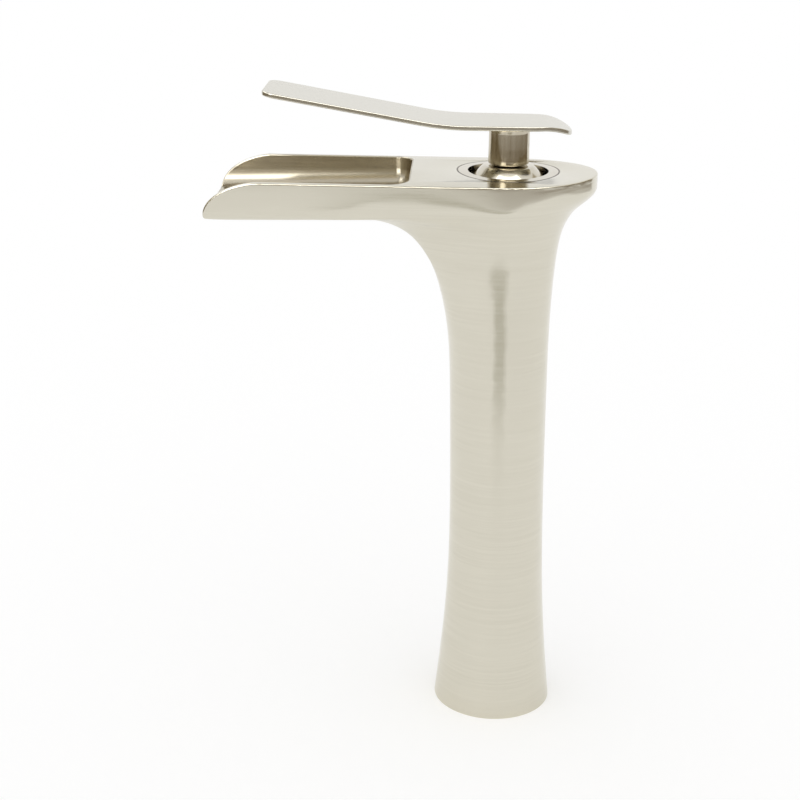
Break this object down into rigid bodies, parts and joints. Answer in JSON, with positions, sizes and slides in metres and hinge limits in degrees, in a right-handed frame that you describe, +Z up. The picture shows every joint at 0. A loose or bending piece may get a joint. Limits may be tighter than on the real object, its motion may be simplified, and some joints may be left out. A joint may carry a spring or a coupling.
{
  "type": "single-lever waterfall vessel-basin faucet",
  "caption": "Tall brushed-nickel vessel-basin faucet with an open waterfall trough and a bent plate lever on a ball joint",
  "frame": {"origin": "centre of the foot's base circle, on the deck", "axes": "+Z up the column, -X the way the spout pours, +Y to the user's left when facing the spout from the basin side"},
  "size_m": [0.1716, 0.0646, 0.2986],
  "materials": {
    "nickel": "brushed nickel plate on cast brass, fine satin lines",
    "nickel_bright": "brushed nickel plate, finer and brighter",
    "brass": "turned brass, unplated",
    "copper": "drawn copper tube",
    "rubber": "black EPDM",
    "cartridge_plastic": "off-white moulded acetal",
    "ceramic": "lapped alumina, glossy white",
    "steel": "turned stainless steel",
    "spring_steel": "stainless spring steel"
  },
  "bodies": {
    "body": {"faucet_body": "nickel", "base_gasket": "rubber", "inlet_block": "brass", "retaining_ring": "spring_steel", "hot_riser_tube": "copper", "cold_riser_tube": "copper", "riser_o_rings": "rubber", "cartridge_base": "cartridge_plastic", "cartridge_port_seals": "rubber", "fixed_disc_seals": "rubber", "fixed_disc": "ceramic", "cartridge_housing": "cartridge_plastic", "cartridge_nut": "brass", "trim_ring": "nickel_bright", "trim_ring_seal": "rubber"},
    "turret": {"turret": "cartridge_plastic", "pivot_pin": "spring_steel"},
    "lever": {"spindle": "steel", "dome_cap": "nickel_bright", "handle_post": "nickel", "handle_plate": "nickel", "set_screw": "steel", "screw_plug": "nickel"},
    "disc": {"disc_carrier": "cartridge_plastic", "moving_disc": "ceramic"}
  },
  "joints": [
    {"name": "temperature_turn", "type": "hinge", "parent": "body", "child": "turret", "pos_m": [0, 0, 0.2512], "axis": [0, 0, 1], "range_deg": [-45, 45]},
    {"name": "flow_lift", "type": "hinge", "parent": "turret", "child": "lever", "pos_m": [0, 0, 0.2512], "axis": [0, 1, 0], "range_deg": [0, 22]},
    {"name": "disc_slide", "type": "slide", "parent": "turret", "child": "disc", "axis": [-1, 0, 0], "range_m": [0, 0.00523]}
  ],
  "couplings": [
    {"joint": "disc_slide", "follows": "flow_lift", "m_per_rad": 0.0136}
  ]
}
